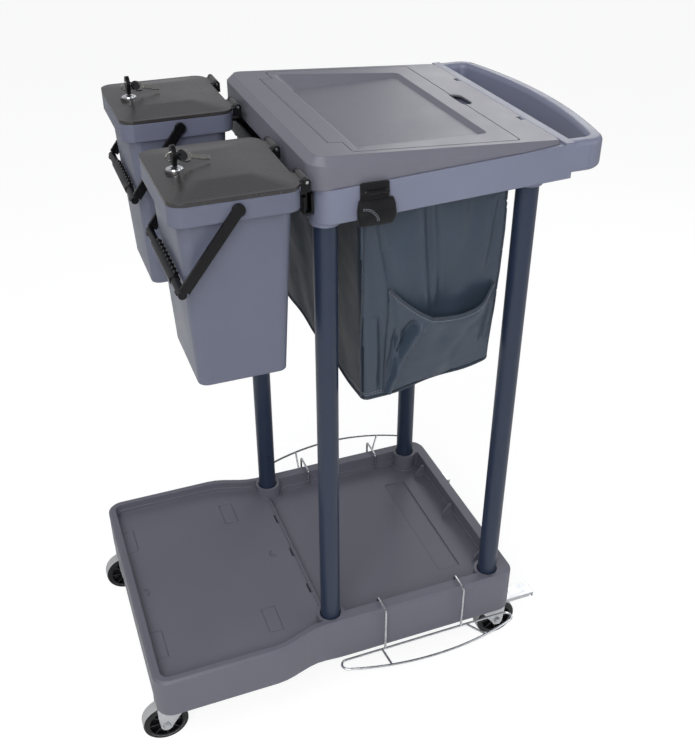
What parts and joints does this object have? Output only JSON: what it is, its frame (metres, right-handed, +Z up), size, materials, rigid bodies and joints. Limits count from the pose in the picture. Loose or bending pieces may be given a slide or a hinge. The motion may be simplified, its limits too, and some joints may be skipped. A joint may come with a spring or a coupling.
{
  "type": "housekeeping cart",
  "caption": "Cleaning cart with a stepped deck on swivel castors, hinged lid with tray flap, hanging bag, lockable lift-off buckets and push handle.",
  "frame": {"origin": "floor level under the middle of the outer box", "axes": "+Z up, +X towards the push handle, +Y away from the pocket side"},
  "size_m": [0.7519, 0.526, 0.9895],
  "materials": {
    "base_plastic": "fine moulded texture",
    "post_paint": "gloss powder coat",
    "frame_plastic": "fine moulded texture",
    "lid_plastic": "fine moulded texture",
    "bucket_plastic": "satin moulded",
    "bucket_lid_plastic": "fine moulded texture",
    "black_plastic": "gloss moulded",
    "key_metal": "nickel plated",
    "lock_chrome": "chrome plated",
    "bag_cloth": "coated cloth with a satin face",
    "strap_web": "woven band",
    "tread_rubber": "smooth rubber",
    "wheel_plastic": "moulded",
    "zinc_steel": "zinc plated"
  },
  "bodies": {
    "base": {"base_tray": "base_plastic", "post_front_left": "post_paint", "post_back_left": "post_paint", "post_front_right": "post_paint", "post_back_right": "post_paint", "upper_frame": "frame_plastic", "lid_hinge_pin": "zinc_steel", "bucket_rail": "black_plastic", "rail_screws": "zinc_steel", "bag_body": "bag_cloth", "bag_pocket": "bag_cloth", "strap_front": "strap_web", "strap_back": "strap_web", "castor_plate_front_left": "zinc_steel", "castor_plate_back_left": "zinc_steel", "castor_plate_front_right": "zinc_steel", "castor_plate_back_right": "zinc_steel", "castor_screw_set": "zinc_steel"},
    "lid": {"lid": "lid_plastic", "flap_hinge_pins": "zinc_steel"},
    "flap": {"lid_flap": "lid_plastic"},
    "hoop_front": {"hoop_front": "zinc_steel"},
    "hoop_back": {"hoop_back": "zinc_steel"},
    "bucket_front": {"bucket_front": "bucket_plastic", "bucket_pins_front": "zinc_steel"},
    "bucket_lid_front": {"bucket_lid_front": "bucket_lid_plastic", "lock_front": "lock_chrome"},
    "bail_front": {"bail_front": "black_plastic"},
    "key_front": {"key_front": "black_plastic", "spare_key_front": "key_metal"},
    "bucket_back": {"bucket_back": "bucket_plastic", "bucket_pins_back": "zinc_steel"},
    "bucket_lid_back": {"bucket_lid_back": "bucket_lid_plastic", "lock_back": "lock_chrome"},
    "bail_back": {"bail_back": "black_plastic"},
    "key_back": {"key_back": "black_plastic", "spare_key_back": "key_metal"},
    "fork_front_left": {"fork_front_left": "zinc_steel", "axle_front_left": "zinc_steel"},
    "wheel_front_left": {"wheel_front_left": "wheel_plastic", "tread_front_left": "tread_rubber"},
    "fork_front_right": {"fork_front_right": "zinc_steel", "axle_front_right": "zinc_steel"},
    "wheel_front_right": {"wheel_front_right": "wheel_plastic", "tread_front_right": "tread_rubber"},
    "pedal_front": {"pedal_front": "zinc_steel"},
    "fork_back_left": {"fork_back_left": "zinc_steel", "axle_back_left": "zinc_steel"},
    "wheel_back_left": {"wheel_back_left": "wheel_plastic", "tread_back_left": "tread_rubber"},
    "fork_back_right": {"fork_back_right": "zinc_steel", "axle_back_right": "zinc_steel"},
    "wheel_back_right": {"wheel_back_right": "wheel_plastic", "tread_back_right": "tread_rubber"},
    "pedal_back": {"pedal_back": "zinc_steel"}
  },
  "joints": [
    {"name": "lid_hinge", "type": "hinge", "parent": "base", "child": "lid", "pos_m": [0.279, 0, 0.9442], "axis": [0, 1, 0], "range_deg": [0, 90]},
    {"name": "flap_hinge", "type": "hinge", "parent": "lid", "child": "flap", "pos_m": [-0.022, 0, 0.96091], "axis": [0, -1, 0], "range_deg": [0, 100]},
    {"name": "bucket_front_lift", "type": "slide", "parent": "base", "child": "bucket_front", "axis": [0, 0, 1], "range_m": [0, 0.06]},
    {"name": "bucket_lid_front_hinge", "type": "hinge", "parent": "bucket_front", "child": "bucket_lid_front", "pos_m": [-0.0855, -0.152, 0.953], "axis": [0, 1, 0], "range_deg": [0, 95]},
    {"name": "bail_front_pivot", "type": "hinge", "parent": "bucket_front", "child": "bail_front", "pos_m": [-0.174, -0.152, 0.938], "axis": [0, 1, 0], "range_deg": [0, 142]},
    {"name": "key_front_turn", "type": "hinge", "parent": "bucket_lid_front", "child": "key_front", "pos_m": [-0.225, -0.152, 0.96], "axis": [0, 0, 1], "range_deg": [0, 90]},
    {"name": "hoop_front_lift", "type": "slide", "parent": "base", "child": "hoop_front", "axis": [0, 0, 1], "range_m": [0, 0.04]},
    {"name": "bucket_back_lift", "type": "slide", "parent": "base", "child": "bucket_back", "axis": [0, 0, 1], "range_m": [0, 0.06]},
    {"name": "bucket_lid_back_hinge", "type": "hinge", "parent": "bucket_back", "child": "bucket_lid_back", "pos_m": [-0.0855, 0.152, 0.953], "axis": [0, 1, 0], "range_deg": [0, 95]},
    {"name": "bail_back_pivot", "type": "hinge", "parent": "bucket_back", "child": "bail_back", "pos_m": [-0.174, 0.152, 0.938], "axis": [0, 1, 0], "range_deg": [0, 142]},
    {"name": "key_back_turn", "type": "hinge", "parent": "bucket_lid_back", "child": "key_back", "pos_m": [-0.225, 0.152, 0.96], "axis": [0, 0, 1], "range_deg": [0, 90]},
    {"name": "hoop_back_lift", "type": "slide", "parent": "base", "child": "hoop_back", "axis": [0, 0, 1], "range_m": [0, 0.04]},
    {"name": "swivel_front_left", "type": "hinge", "parent": "base", "child": "fork_front_left", "pos_m": [-0.3085, -0.184, 0.088], "axis": [0, 0, 1], "continuous": true},
    {"name": "wheel_spin_front_left", "type": "hinge", "parent": "fork_front_left", "child": "wheel_front_left", "pos_m": [-0.3385, -0.184, 0.0375], "axis": [0, 1, 0], "continuous": true},
    {"name": "swivel_front_right", "type": "hinge", "parent": "base", "child": "fork_front_right", "pos_m": [0.2455, -0.174, 0.088], "axis": [0, 0, 1], "continuous": true},
    {"name": "wheel_spin_front_right", "type": "hinge", "parent": "fork_front_right", "child": "wheel_front_right", "pos_m": [0.2755, -0.174, 0.0375], "axis": [0, 1, 0], "continuous": true},
    {"name": "pedal_front_press", "type": "hinge", "parent": "fork_front_right", "child": "pedal_front", "pos_m": [0.2825, -0.174, 0.078], "axis": [0, 1, 0], "range_deg": [0, 12]},
    {"name": "swivel_back_left", "type": "hinge", "parent": "base", "child": "fork_back_left", "pos_m": [-0.3085, 0.184, 0.088], "axis": [0, 0, 1], "continuous": true},
    {"name": "wheel_spin_back_left", "type": "hinge", "parent": "fork_back_left", "child": "wheel_back_left", "pos_m": [-0.3385, 0.184, 0.0375], "axis": [0, 1, 0], "continuous": true},
    {"name": "swivel_back_right", "type": "hinge", "parent": "base", "child": "fork_back_right", "pos_m": [0.2455, 0.174, 0.088], "axis": [0, 0, 1], "continuous": true},
    {"name": "wheel_spin_back_right", "type": "hinge", "parent": "fork_back_right", "child": "wheel_back_right", "pos_m": [0.2755, 0.174, 0.0375], "axis": [0, 1, 0], "continuous": true},
    {"name": "pedal_back_press", "type": "hinge", "parent": "fork_back_right", "child": "pedal_back", "pos_m": [0.2825, 0.174, 0.078], "axis": [0, 1, 0], "range_deg": [0, 12]}
  ]
}
